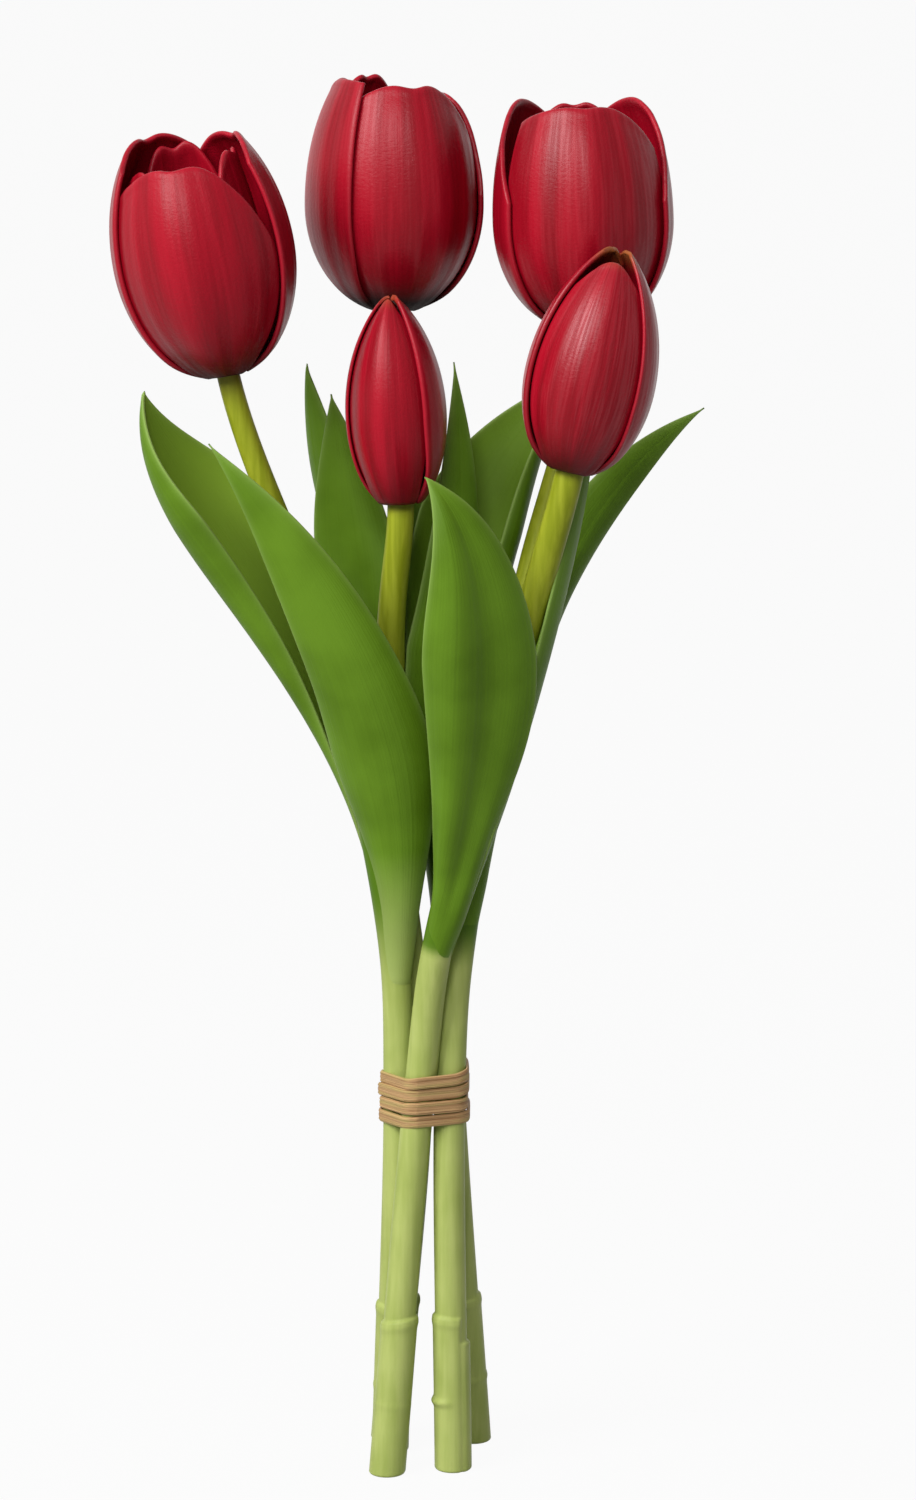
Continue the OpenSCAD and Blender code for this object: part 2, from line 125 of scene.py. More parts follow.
def sheet(outer, inner):
    """Points and faces of a closed sheet: both grids use the border of the outer one."""
    index = np.arange(outer.shape[0] * outer.shape[1]).reshape(outer.shape[:2])
    behind = index.copy()
    own = behind[1:-1, 1:-1]
    own[...] = index.size + np.arange(own.size).reshape(own.shape)
    points = np.concatenate([outer.reshape(-1, 3), inner[1:-1, 1:-1].reshape(-1, 3)])
    return points, [quads(index), quads(behind)[:, ::-1]]


def both_faces(values):
    """A value on the sheet's grid, in the order of the sheet's points."""
    return np.concatenate([values.ravel(), values[1:-1, 1:-1].ravel()])


def tube(rings, ends=True):
    """Points and faces of a tube through rings of points, closed by a fan at each end or into a loop."""
    count, sides = rings.shape[:2]
    index = np.arange(count * sides).reshape(count, sides)
    index = np.concatenate([index, index[:, :1]], 1)
    if not ends:
        return rings.reshape(-1, 3), [quads(np.concatenate([index, index[:1]]))]
    tips = np.stack([rings[0].mean(0), rings[-1].mean(0)])
    tip = np.full(sides, count * sides)
    first = np.stack([tip, index[0, 1:], index[0, :-1]], -1)
    last = np.stack([index[-1, :-1], index[-1, 1:], tip + 1], -1)
    return np.concatenate([rings.reshape(-1, 3), tips]), [first, quads(index), last]


def piece(name, points, faces, material, body, node, values):
    """A mesh object in the frame that rides on a body and stands for one node of the model."""
    mesh = bpy.data.meshes.new(name)
    corners = [corner for block in faces for corner in block.tolist()]
    mesh.from_pydata(to_frame(points).tolist(), [], corners)
    mesh.polygons.foreach_set("use_smooth", np.ones(len(mesh.polygons), bool))
    for key, numbers in values.items():
        field = mesh.attributes.new(key, "FLOAT", "POINT")
        field.data.foreach_set("value", np.asarray(numbers, np.float32).ravel())
    mesh.materials.append(material)
    made = bpy.data.objects.new(name, mesh)
    bpy.context.scene.collection.objects.link(made)
    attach(made, body)
    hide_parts(node)
    return made


def clustered(count, both=True):
    """Numbers from -1 to 1, or from 0 to 1, that crowd together at the rim: the sine of even steps."""
    return np.sin(np.linspace(-1.0 if both else 0.0, 1.0, count) * np.pi / 2)


def round_rim(inset, thick):
    """Half the thickness of a sheet at a distance from its rim: the height of a half circle, then level."""
    radius = thick / 2
    return np.sqrt(np.clip(radius**2 - np.clip(radius - inset, 0, None) ** 2, 0, None))


print("half of a 1 mm sheet near its rim:", round_rim(np.array([0, 0.2, 0.5]), 1.0))

# %% [markdown]
# ## Shader maths as Python
# A finish is a small network of nodes. Written out link by link it is hard to read, so one class wraps a
# socket: adding or multiplying two wrapped sockets adds the Math node that does it. Every other node
# comes from one method that takes its type, its settings and what goes into its sockets.

# %% Shader maths as Python
# A Mix node's colour sockets go by number, because its other sockets have the same names.
MIX_LOW, MIX_HIGH, MIX_COLOUR = 6, 7, 2


class Flow:
    """A socket whose value flows on into other nodes of the same tree."""

    def __init__(self, tree, socket=None):
        self.tree = tree
        self.socket = socket

    def node(self, kind, settings=None, inputs=None, output=0):
        """Any node: its settings are set first, then values or links go into its sockets."""
        made = self.tree.nodes.new(kind)
        for key, value in (settings or {}).items():
            setattr(made, key, value)
        for key, value in (inputs or {}).items():
            if isinstance(value, Flow):
                self.tree.links.new(value.socket, made.inputs[key])
            else:
                made.inputs[key].default_value = value
        return Flow(self.tree, made.outputs[output])

    def math(self, operation, first, second):
        """One step of arithmetic."""
        return self.node("ShaderNodeMath", {"operation": operation}, {0: first, 1: second})

    def __add__(self, other):
        return self.math("ADD", self, other)

    def __sub__(self, other):
        return self.math("SUBTRACT", self, other)

    def __rsub__(self, other):
        return self.math("SUBTRACT", other, self)

    def __mul__(self, other):
        return self.math("MULTIPLY", self, other)

    __radd__ = __add__
    __rmul__ = __mul__

    def step(self, low, high):
        """A soft step from 0 at low to 1 at high."""
        settings = {"interpolation_type": "SMOOTHSTEP"}
        return self.node("ShaderNodeMapRange", settings, {"Value": self, "From Min": low, "From Max": high})

    def blend(self, low, high):
        """A colour that goes from low to high as this value goes from 0 to 1."""
        inputs = {0: self, MIX_LOW: low, MIX_HIGH: high}
        return self.node("ShaderNodeMix", {"data_type": "RGBA"}, inputs, MIX_COLOUR)

    def field(self, name):
        """A value that the mesh carries at each of its points."""
        return self.node("ShaderNodeAttribute", {"attribute_name": name}, output="Fac")

    def place(self, x, y, z):
        """Three values as one place to look up a texture at."""
        return self.node("ShaderNodeCombineXYZ", None, {0: x, 1: y, 2: z})

    def own_place(self, factors=(1.0, 1.0, 1.0)):
        """The place on the piece itself in metres, with each axis multiplied by its own factor."""
        at = self.node("ShaderNodeTexCoord", output="Object")
        return self.node("ShaderNodeMapping", {"vector_type": "POINT"}, {"Vector": at, "Scale": factors})

    def noise(self, where, scale=1.0, detail=2.0, rough=0.5):
        """Cloudy values round 0.5."""
        inputs = {"Vector": where, "Scale": scale, "Detail": detail, "Roughness": rough}
        return self.node("ShaderNodeTexNoise", None, inputs)

    def relief(self, height, distance, strength):
        """A bump: the height of 1 is a distance in metres."""
        inputs = {"Height": height, "Distance": distance, "Strength": strength}
        return self.node("ShaderNodeBump", None, inputs)


def finish(name, **constants):
    """A new material: its flow, and a function that feeds the sockets of its shader."""
    material = bpy.data.materials.new(name)
    material.use_nodes = True
    shader = material.node_tree.nodes["Principled BSDF"]
    for key, value in constants.items():
        shader.inputs[key.replace("_", " ")].default_value = value

    def feed(**varying):
        for key, flow in varying.items():
            material.node_tree.links.new(flow.socket, shader.inputs[key.replace("_", " ")])
        return material

    return Flow(material.node_tree), feed


def colour(red, green, blue):
    """A colour written in screen values from 0 to 255, as linear light by the sRGB curve."""
    share = np.array([red, green, blue]) / 255.0
    linear = np.where(share <= 0.04045, share / 12.92, ((share + 0.055) / 1.055) ** 2.4)
    return (*linear.tolist(), 1.0)


print("a middle grey of 128 is this much light:", np.round(colour(128, 128, 128), 3))

# %% [markdown]
# ## Petal finish
# The petals are moulded from a soft foam with a satin skin. Their colour runs in streaks from root to
# rim, they darken to nearly black at the root, partly by their dye and partly as painted shade, their rims
# are lightened a little as a painted highlight, and the buds keep a brown tip. One could paint all this as
# an image. Here each petal mesh carries its own place as fields: u across, v along, and how strong the
# root, tip and sheen are. Streaks are noise that is stretched along v, and the same noise lifts the
# surface and breaks up the sheen, so colour, relief and gloss agree, and no two petals are alike.

# %% Petal finish
DEEP_RED, FULL_RED, RIM_HIGHLIGHT_RED = colour(126, 4, 20), colour(158, 8, 31), colour(184, 36, 54)
ROOT_DYE_AND_SHADE, TIP_BROWN = colour(34, 8, 9), colour(150, 84, 42)


def petal_finish():
    """Broad and fine streaks mix two reds. A painted highlight at the rim, a dark root that is partly dye and
    partly painted shade, and the brown tip are blended over them by the petal's fields.
    """
    flow, feed = finish("petal_skin", Specular_IOR_Level=0.18, Coat_Roughness=0.3, Coat_IOR=1.4)
    u, v, seed = flow.field("u"), flow.field("v"), flow.field("seed")
    broad = flow.noise(flow.place(u * 5.0, v * 0.9, seed), detail=3.0)
    fine = flow.noise(flow.place(u * 26.0, v * 4.0, seed), detail=3.0, rough=0.6)
    skin = flow.noise(flow.own_place((1.0, 1.0, 1.6)), 800.0, detail=4.0, rough=0.6)
    red = (broad * 0.75 + fine * 0.25).step(0.32, 0.68).blend(DEEP_RED, FULL_RED)
    # A painted highlight: the rim is lightened towards a paler red.
    red = (flow.field("rim") * 0.3).blend(red, RIM_HIGHLIGHT_RED)
    # The dark root is partly the dye and partly painted shade.
    red = flow.field("root").blend(red, ROOT_DYE_AND_SHADE)
    red = flow.field("tip").blend(red, TIP_BROWN)
    height = fine * 0.25 + broad * 0.5 + skin * 0.5
    return feed(
        Base_Color=red,
        Roughness=0.27 + broad * 0.1 + skin * 0.08 + flow.field("root") * 0.4,
        Coat_Weight=fine.step(0.42, 0.62) * flow.field("sheen"),
        Normal=flow.relief(height, distance=0.00035, strength=0.55),
    )


PETAL_SKIN = petal_finish()
print("made", PETAL_SKIN.name)

# %% [markdown]
# ## Leaf finish
# The leaves are smooth and satin, with faint parallel veins from sheath to tip, a thin pale edge and a
# lighter inner face, which is partly their own tone and partly painted light for the light that falls
# into and through them, strongest on the second leaf of the left stem. Two of them fade to the stem's
# pale green at the base. The veins follow the leaf's own u and v, because a pattern in space would run
# straight across a leaf that bends. The clouds of lighter and darker green may lie in space, as they have
# no direction.

# %% Leaf finish
DEEP_GREEN, FULL_GREEN, INNER_GREEN_AND_PAINTED_LIGHT = colour(78, 110, 14), colour(96, 132, 28), colour(120, 152, 44)
EDGE_GREEN, BASE_GREEN = colour(158, 184, 104), colour(176, 188, 112)


def leaf_finish():
    """Clouds and veins mix two greens. The lighter inner face (partly painted light), rim and pale base are
    blended over them by the fields.
    """
    flow, feed = finish("leaf_skin", Specular_IOR_Level=0.14)
    u, v, seed = flow.field("u"), flow.field("v"), flow.field("seed")
    veins = flow.noise(flow.place(u * 26.0, v * 1.6, seed))
    cloud = flow.noise(flow.own_place(), 38.0, detail=3.0)
    skin = flow.noise(flow.own_place(), 1600.0)
    green = (cloud * 0.85 + veins * 0.15).step(0.3, 0.7).blend(DEEP_GREEN, FULL_GREEN)
    # The lighter inner face is partly its own tone, partly painted light falling into the leaf.
    green = flow.field("inside").blend(green, INNER_GREEN_AND_PAINTED_LIGHT)
    green = (flow.field("rim") * 0.55).blend(green, EDGE_GREEN)
    green = flow.field("pale").blend(green, BASE_GREEN)
    return feed(
        Base_Color=green,
        Roughness=0.4 + skin * 0.12 + veins * 0.06,
        Normal=flow.relief(veins * 0.7 + skin * 0.3, distance=0.0003, strength=0.5),
    )


LEAF_SKIN = leaf_finish()
print("made", LEAF_SKIN.name)

# %% [markdown]
# ## Stem finish
# A stem is pale green up to its leaves, leaf green where they come out of it, and a yellow olive above
# them. On stems that stand in the shade of others, that leaf green is also painted shade. A brown shade
# marks the neck in the flower. The mesh carries these zones as fields, which is simpler than four
# materials with seams between them. Long thin streaks come from noise that is stretched along Z.

# %% Stem finish
PALE_GREEN, LIGHT_GREEN = colour(154, 168, 86), colour(176, 187, 108)
OLIVE, LIGHT_OLIVE = colour(128, 138, 24), colour(150, 158, 40)
SHEATH_GREEN_AND_SHADE, NECK_BROWN = colour(76, 110, 14), colour(86, 66, 26)


def stem_finish():
    """Streaks and clouds mix two tones of each zone, and the stem's fields blend the zones."""
    flow, feed = finish("stem_skin", Specular_IOR_Level=0.15)
    streaks = flow.noise(flow.own_place((1.0, 1.0, 0.06)), 520.0, detail=3.0)
    cloud = flow.noise(flow.own_place(), 60.0)
    skin = flow.noise(flow.own_place(), 1500.0)
    pale = (streaks * 0.5 + cloud * 0.5).step(0.3, 0.7).blend(PALE_GREEN, LIGHT_GREEN)
    olive = streaks.step(0.3, 0.7).blend(OLIVE, LIGHT_OLIVE)
    green = flow.field("upper").blend(pale, olive)
    # Leaf green where the leaves come out; on stems in the shade of others it is also painted shade.
    green = flow.field("sheath").blend(green, SHEATH_GREEN_AND_SHADE)
    green = flow.field("neck").blend(green, NECK_BROWN)
    return feed(
        Base_Color=green,
        Roughness=0.38 + skin * 0.14,
        Normal=flow.relief(streaks * 0.6 + skin * 0.4, distance=0.00025, strength=0.4),
    )


STEM_SKIN = stem_finish()
print("made", STEM_SKIN.name)

# %% [markdown]
# ## Raffia and the hidden pieces
# Raffia is a dry palm fibre: many fine lines along the strand, in straw tones with greener patches. The
# lines follow the strand's own u and v, so they run round the stems with it. The cores are brown moulded
# plugs, the pistils yellow with a dusty surface, and the wires drawn steel. One function makes those
# three, because they differ only in tone, grain and gloss.

# %% Raffia and the hidden pieces
STRAW, LIGHT_STRAW, GREEN_STRAW = colour(146, 104, 62), colour(206, 168, 118), colour(182, 168, 100)


def raffia_finish():
    """Fibres mix two straw tones, and wide patches blend a greener one over them."""
    flow, feed = finish("raffia_fibre", Specular_IOR_Level=0.35)
    u, v = flow.field("u"), flow.field("v")
    fibres = flow.noise(flow.place(u * 9.0, v * 0.035, 1.7), detail=4.0, rough=0.65)
    patches = flow.noise(flow.place(u * 1.6, v * 0.05, 8.3))
    straw = fibres.step(0.34, 0.66).blend(STRAW, LIGHT_STRAW)
    straw = (patches.step(0.45, 0.7) * 0.6).blend(straw, GREEN_STRAW)
    return feed(
        Base_Color=straw,
        Roughness=0.42 + fibres * 0.25,
        Normal=flow.relief(fibres, distance=0.0005, strength=0.8),
    )


def grained_finish(name, dark, light, grain, rough, metal=0.0):
    """A moulded or drawn surface: two near tones and a fine grain."""
    flow, feed = finish(name, Metallic=metal)
    grains = flow.noise(flow.own_place(), grain, detail=3.0)
    return feed(
        Base_Color=grains.step(0.35, 0.65).blend(dark, light),
        Roughness=rough + grains * 0.2,
        Normal=flow.relief(grains, distance=0.0002, strength=0.5),
    )


RAFFIA = raffia_finish()
CORE_BROWN = grained_finish("core_moulding", colour(70, 30, 20), colour(104, 50, 30), 900.0, 0.5)
PISTIL_YELLOW = grained_finish("pistil_dust", colour(150, 128, 40), colour(198, 178, 84), 1200.0, 0.6)
WIRE_STEEL = grained_finish("wire_steel", colour(140, 140, 140), colour(176, 176, 176), 700.0, 0.25, 1.0)
print("made", RAFFIA.name, CORE_BROWN.name, PISTIL_YELLOW.name, WIRE_STEEL.name)

# %% [markdown]
# ## Where the flowers stand
# Each flower has a lowest point (base), an axis that leans a little, and a turn about that axis. Its egg
# shape has a radius, a lower half of its own height (low) and a taper above. The stem's ball end has its own
# radius (neck_r) and sits a little up the axis (neck_up). Root, tip and sheen say how much of those its
# finish shows; the dark root is partly dye and partly painted shade. One table holds it all, so a stem
# ends where its flower begins.

# %% Where the flowers stand
Flower = namedtuple("Flower", "base lean turn radius low taper neck_r neck_up root tip sheen")
FLOWERS = {
    "left_bloom": Flower((-49.2, -8, 318), (-0.185, -0.05), -8, 24.8, 35, 1, 3.2, 4, 0.8, 0, 0.06),
    "back_bloom": Flower((-3.4, 26, 333), (0, -0.02), 27, 24.6, 31, 1, 3.5, 4, 1.6, 0, 0.14),
    "right_bloom": Flower((51.2, 18, 329), (-0.035, -0.04), 4, 25.4, 31, 1, 3.6, 4, 0.85, 0, 0.22),
    "front_bud": Flower((-1, -8, 282), (-0.05, -0.03), -16, 13.8, 27.5, 1.5, 3.7, 3, 0.35, 0.5, 0.05),
    "side_bud": Flower((46, -26, 293), (0.22, -0.03), -10, 17.8, 27.5, 1.5, 4, 3, 0.7, 1, 0.45),
}
LEFT, BACK, RIGHT, FRONT, SIDE = FLOWERS


def flower_frame(flower):
    """The flower's own axes as three rows: right, away from the viewer, and up along its axis."""
    axis = unit(np.array([*flower.lean, 1.0]))
    right = unit(np.cross([0.0, 1.0, 0.0], axis))
    return np.stack([right, np.cross(axis, right), axis])


print("flowers:", ", ".join(FLOWERS))

# %% [markdown]
# ## Petals
# A tulip closes like an egg, so a petal is a patch of an egg-shaped surface of revolution. One could
# sculpt it, but a formula makes twenty-four of them that fit each other. One parameter, u, goes across
# the petal from -1 to 1, the other, s, from root to rim. Edges that lie over a neighbour are set out
# along the surface's normal and those that lie under one are set in, so three petals overlap as real ones
# do. Soft ribs run along them, a keel runs up the middle, and the rim is a rounded bead, or a thin edge
# where a bud's petals lie close.

# %% Egg
ROOT_R = 6.4
LEAST_R = 0.02


def first_angle(flower):
    """Where the petals start: the egg has the root's radius there."""
    return np.arcsin(ROOT_R / flower.radius)


def egg(flower, high, angle, offset):
    """Radius and height of the egg at an angle a from its lowest point. The radius is R sin a, with the sine
    raised to a power above the widest place. The height is h - c cos a, where c is the lower or the upper
    semi-axis. The point is then moved by the offset along the profile's normal."""
    upper = angle > np.pi / 2
    semi = np.where(upper, high, flower.low)
    power = np.where(upper, flower.taper, 1.0)
    slope = power * np.sin(angle) ** (power - 1) * np.cos(angle)
    normal = unit(np.stack([semi * np.sin(angle), -flower.radius * slope], -1))
    height = flower.low * np.cos(first_angle(flower)) - semi * np.cos(angle)
    radius = flower.radius * np.sin(angle) ** power
    return np.maximum(radius + offset * normal[..., 0], LEAST_R), height + offset * normal[..., 1]


starts = np.degrees([first_angle(flower) for flower in FLOWERS.values()])
print("petals start at", np.round(starts), "degrees")

# %% [markdown]
# A petal's row gives its turn, the half-widths of its two sides in degrees, how each edge laps, its crown
# (the egg's upper semi-axis, and the angle at which it would end), its reach as a share of that, how far
# each shoulder falls below the reach, and how round that fall is.

# %% Petal surface
Petal = namedtuple(
    "Petal",
    "turn wide laps crown reach shoulders roundness notch keel lay bead",
    defaults=[3, 0, 0.8, 0, 0.4],
)
PETAL_GRID = (65, 61)
PETAL_T = 1.2
PETAL_LENGTH = 75.0
ROOT_WIDE = 60.0
TUCK = 0.85
RIM_CURL = 0.15
BEAD_AT, BEAD_WIDE = 1.4, 1.3
RIM_HIGHLIGHT_FADE = 0.9
NOTCH_WIDE = 0.2
KEEL_WIDE = 0.22
RIB, RIB_STEP = 0.00026, 3.1


def petal_stand(flower, petal, u, v, phases):
    """How far a petal's middle stands off the egg: its lay, a tuck and a curl where an edge laps, a
    bell-shaped keel, and three sine waves across it as ribs, less half its thickness."""
    edge, arch = np.abs(u), np.sin(np.pi * np.clip(v, 0, 1))
    lap = by_side(u, petal.laps)
    tuck = TUCK * lap * ramp(edge, 0.2, 1) * ramp(v, 0, 0.2)
    curl = RIM_CURL * np.clip(lap, 0, None) * ramp(edge, 0.86, 1) * ramp(v, 0.1, 0.3)
    keel = petal.keel * bump(u, KEEL_WIDE) * arch
    waves = sum(np.sin(k * RIB_STEP * np.pi * u + phase) / k for k, phase in enumerate(phases, 1))
    ribs = RIB * flower.radius**2 * waves * arch**0.7
    return petal.lay + tuck + curl + keel + ribs - PETAL_T / 2


def petal_surface(flower, petal, phases):
    """Both faces of a petal on a grid, and the fields that its finish reads. The rim lies at
    v = reach (1 - shoulder |u|^roundness - notch bell(u)), and the faces are a half circle apart there."""
    s = clustered(PETAL_GRID[0], both=False)[:, None]
    u = clustered(PETAL_GRID[1])[None, :]
    edge = np.abs(u)
    fall = by_side(u, petal.shoulders) * edge**petal.roundness + petal.notch * bump(u, NOTCH_WIDE)
    rim_v = petal.reach * (1 - fall)
    v = s * rim_v
    high, last = petal.crown
    angle = lerp(first_angle(flower), np.radians(last), v)
    full = by_side(u, petal.wide)
    wide = lerp(np.minimum(ROOT_WIDE, full), full, ramp(v, 0.04, 0.44))
    side = (1 - edge) * np.radians(wide) * flower.radius * np.sin(angle)
    inset = soft_min(side, (1 - s) * rim_v * PETAL_LENGTH)
    half = round_rim(inset, PETAL_T + petal.bead * bump(inset - BEAD_AT, BEAD_WIDE))
    middle = petal_stand(flower, petal, u, v, phases)
    way = facing(flower.turn + petal.turn + wide * u)
    faces = []
    for offset in (middle + half, middle - half):
        r, z = egg(flower, high, angle, offset)
        local = way * column(r)
        local[..., 2] += z
        faces.append(np.array(flower.base) + local @ flower_frame(flower))
    fields = {
        "u": u + 0 * v,
        "v": v,
        # How near the rim: it drives the painted highlight there.
        "rim": np.exp(-inset / RIM_HIGHLIGHT_FADE),
        # How dark the root is: partly dye, partly painted shade.
        "root": np.minimum(flower.root * (1 - ramp(v, 0, 0.3)), 1),
        "tip": flower.tip * ramp(v, 0.84, 1),
        "sheen": flower.sheen * ramp(v, 0.1, 0.4),
    }
    return faces, fields


print("points on a petal's face:", PETAL_GRID[0] * PETAL_GRID[1])

# %% [markdown]
# Three outer petals and three inner ones make a bloom. The front one is tucked under both of its
# neighbours. A bud has three long petals with pointed tips. Every petal draws its own ribs and streaks
# from one seeded source, so each run makes the same bunch.

# %% Petal pieces
UNDER, MIXED, OVER, FREE = (-1, -1), (-1, 1), (1, 1), (0, 0)
RIB_COUNT, FULL_TURN = 3, 6.28
STREAK_SEEDS = 50
draw = np.random.default_rng(7)


def inner_petal(turn, crown, reach, wide=54, lay=-3.4):
    """A petal inside the outer three, whose edges lie free."""
    return Petal(turn, (wide, wide), FREE, crown, reach, (0.2, 0.2), notch=0.02, keel=0.5, lay=lay)


PETALS = {
    LEFT: {
        "outer_petal": [
            Petal(0, (67, 67), UNDER, (40, 146), 0.9, (0.12, 0.36), 2.4, notch=0.025, keel=2.4),
            Petal(-120, (67, 62), MIXED, (40, 146), 1.03, (0.14, 0.14), 3.4, notch=0.02, keel=1),
            Petal(126, (61, 60), OVER, (40, 146), 0.98, (0.14, 0.14), 3.4, notch=0.02, keel=1),
        ],
        "inner_petal": [
            inner_petal(84, (60, 126), 0.95, lay=-8),
            inner_petal(204, (70, 122), 0.965, wide=58, lay=-9),
            inner_petal(324, (40, 146), 0.92),
        ],
    },
    BACK: {
        "outer_petal": [
            Petal(-6, (67, 67), UNDER, (46, 144), 0.965, (0.1, 0.24), 2.6, notch=0.02, keel=0.9),
            Petal(-120, (67, 66), MIXED, (46, 144), 0.98, (0.16, 0.02), notch=0.02),
            Petal(120, (66, 67), OVER, (46, 144), 0.92, (0.34, 0.14), notch=0.02),
        ],
        "inner_petal": [
            inner_petal(75, (46, 144), 0.95),
            inner_petal(195, (46, 144), 1.03, wide=50),
            inner_petal(315, (46, 144), 0.93),
        ],
    },
    RIGHT: {
        "outer_petal": [
            Petal(0, (67, 67), UNDER, (45, 146), 0.94, (0.06, 0.17), 2.6, notch=0.012, keel=2),
            Petal(-120, (67, 63), MIXED, (50, 135), 0.985, (0.2, 0.3), 2),
            Petal(120, (63, 67), OVER, (50, 135), 0.975, (0.3, 0.2), 2),
        ],
        "inner_petal": [
            inner_petal(60, (45, 144), 0.79),
            inner_petal(180, (45, 144), 0.97, wide=50),
            inner_petal(300, (45, 144), 0.79),
        ],
    },
    FRONT: {
        "petal": [
            Petal(0, (70, 58), UNDER, (34, 172), 0.95, (0.16, 0.16), 2.4, bead=0),
            Petal(-120, (74, 58), (-1, 0.6), (34, 172), 1, (0.1, 0.1), keel=0.5, bead=-0.7),
            Petal(120, (71, 74), OVER, (34, 172), 1, (0.1, 0.1), keel=0.5),
        ]
    },
    SIDE: {
        "petal": [
            Petal(0, (62, 65), UNDER, (38, 166), 0.9, (0.16, 0.16), 2.4),
            Petal(-120, (74, 62), MIXED, (38, 166), 1, (0.1, 0.06), keel=0.5),
            Petal(120, (67, 74), OVER, (38, 166), 1, (0.06, 0.1), keel=0.5, bead=-0.1),
        ]
    },
}


def make_petal(name, body, petal):
    """One petal piece, with ribs and streaks of its own."""
    phases = draw.uniform(0, FULL_TURN, RIB_COUNT)
    (outer, inner), fields = petal_surface(FLOWERS[body], petal, phases)
    points, faces = sheet(outer, inner)
    values = {key: both_faces(numbers) for key, numbers in fields.items()}
    values["seed"] = np.full(len(points), draw.uniform(0, STREAK_SEEDS))
    return piece(name + "_skin", points, faces, PETAL_SKIN, body, name, values)


petals = []
for body, kinds in PETALS.items():
    for kind, shapes in kinds.items():
        petals += [make_petal(f"{body}_{kind}_{i}", body, shape) for i, shape in enumerate(shapes, 1)]
print("petals:", len(petals))

# %% [markdown]
# ## Stems
# A stem is a circle carried along a smooth curve through its foot, the waist, two bends and the pivot in
# the flower. Blender could bevel a curve object to the same tube, but only with one radius all round.
# Here each ring has a radius for every direction, because the foot keeps what is left of two old leaf
# sheaths.

# %% Stem path
Stem = namedtuple("Stem", "foot waist_turn low_bend high_bend")
STEMS = {
    LEFT: Stem((-5, 8, 0), -178, (-5.5, -3, 167), (-23, -6, 243)),
    BACK: Stem((19.5, 17.5, 0), 38, (10, 14, 172), (-11, 24, 262)),
    RIGHT: Stem((13.5, -9, 0), -34, (17.5, 0, 166), (34, 12, 252)),
    FRONT: Stem((-5.5, 19.5, 0), 110, (-2, 6.5, 178), (-4, -4, 242)),
    SIDE: Stem((-5.5, -13, 0), -106, (12, -14, 169), (37, -22, 259)),
}
WAIST_Z = 110.0
WAIST_RING = 8.0
WAIST_MIDDLE = np.array([6.0, 0.0, WAIST_Z])
FOOT_R = 4.6
WAIST_R = 4.5
STEM_END = 4.0
NEAR = 0.01


def waist_point(stem):
    """Where a stem passes the waist: on a ring round its middle."""
    a = np.radians(stem.waist_turn)
    return WAIST_MIDDLE + WAIST_RING * np.array([np.cos(a), np.sin(a), 0.0])


def stem_path(flower, stem):
    """The points that the stem's curve goes through. The first and last only set its end directions."""
    foot, waist, low, high = (np.array(p, float) for p in (stem.foot, waist_point(stem), *stem[2:]))
    up = flower_frame(flower)[2]
    pivot = np.array(flower.base) + flower.neck_up * up
    beyond = high + 2 * np.linalg.norm(pivot - high) * up
    return np.stack([2 * foot - waist, foot, waist, low, high, pivot, beyond])


def along(path, s):
    """A cubic through the points: at s between two of them it is the usual Catmull-Rom mix of four points."""
    i = np.clip(np.floor(s).astype(int), 0, len(path) - 4)
    t = column(s - i)
    a, b, c, d = (path[i + k] for k in range(4))
    return 0.5 * (2 * b + (c - a) * t + (2 * a - 5 * b + 4 * c - d) * t**2 + (3 * b - a - 3 * c + d) * t**3)


def heading(path, s):
    """The curve's direction, from two near points."""
    return unit(along(path, s + NEAR) - along(path, s - NEAR))


def stem_radius(flower, s):
    """A straight taper to the waist and another one on to the neck."""
    upper = lerp(WAIST_R, flower.neck_r, (s - 1) / (STEM_END - 1))
    return np.where(s < 1, lerp(FOOT_R, WAIST_R, s), upper)


print("waist points:", [np.round(waist_point(stem), 1).tolist() for stem in STEMS.values()])

# %% [markdown]
# The old sheaths end in a collar with a gap, above a faint ring. They could be modelled as pieces of
# their own. As steps and bells in the stem's radius they need no joint, and one function makes five that
# differ.

# %% Stem surface
Foot = namedtuple("Foot", "gap slant ring")
COLLAR_Z, COLLAR_STEP = 46.0, 0.7
LOWER_DROP, LOWER_SHARE = 8.0, 1.3
GAP_HALF, GAP_SIDE = 42.0, 9.0
GROOVE_AT, GROOVE_WIDE, GROOVE = 48.0, 7.0, 0.28
LIP_DROP, LIP_WIDE, LIP = 2.2, 1.3, 0.25
RING_Z, RING_WIDE = 20.5, 1.1
FOOT_ROUND = 0.9
FOOT_TOP, FOOT_RINGS = 60.0, 180
SHAFT_FROM, SHAFT_RINGS = 62.0, 16
UPPER_RINGS = 150
STEM_SIDES = 48
SHEATH_LONG, SHEATH_FADE = 45.0, 30.0
QUARTER = np.pi / 2


def foot_relief(z, turn, foot):
    """Height of the sheath remains over the stem: a step at the collar's edge but for the gap, a lower step
    in the gap, a groove at the gap's sides, a lip along the edge, and a ring opposite the gap."""
    off = np.abs((turn - foot.gap + 180) % 360 - 180)
    z = z - foot.slant * np.cos(np.radians(turn)) * ramp(z, 26, 34)
    drop = z - COLLAR_Z
    in_gap = 1 - ramp(off, GAP_HALF, GAP_HALF + GAP_SIDE)
    collar = COLLAR_STEP * (1 - ramp(drop, -0.8, 0.1))
    lower = LOWER_SHARE * COLLAR_STEP * (1 - ramp(drop, -LOWER_DROP, 1 - LOWER_DROP))
    groove = GROOVE * bump(off - GROOVE_AT, GROOVE_WIDE) * (1 - ramp(drop, -4, 0))
    lip = LIP * bump(drop + LIP_DROP, LIP_WIDE) * (1 - in_gap)
    ring = foot.ring * bump(z - RING_Z, RING_WIDE) * ramp(off, 60, 140)
    return lerp(collar, lower, in_gap) + lip + ring - groove


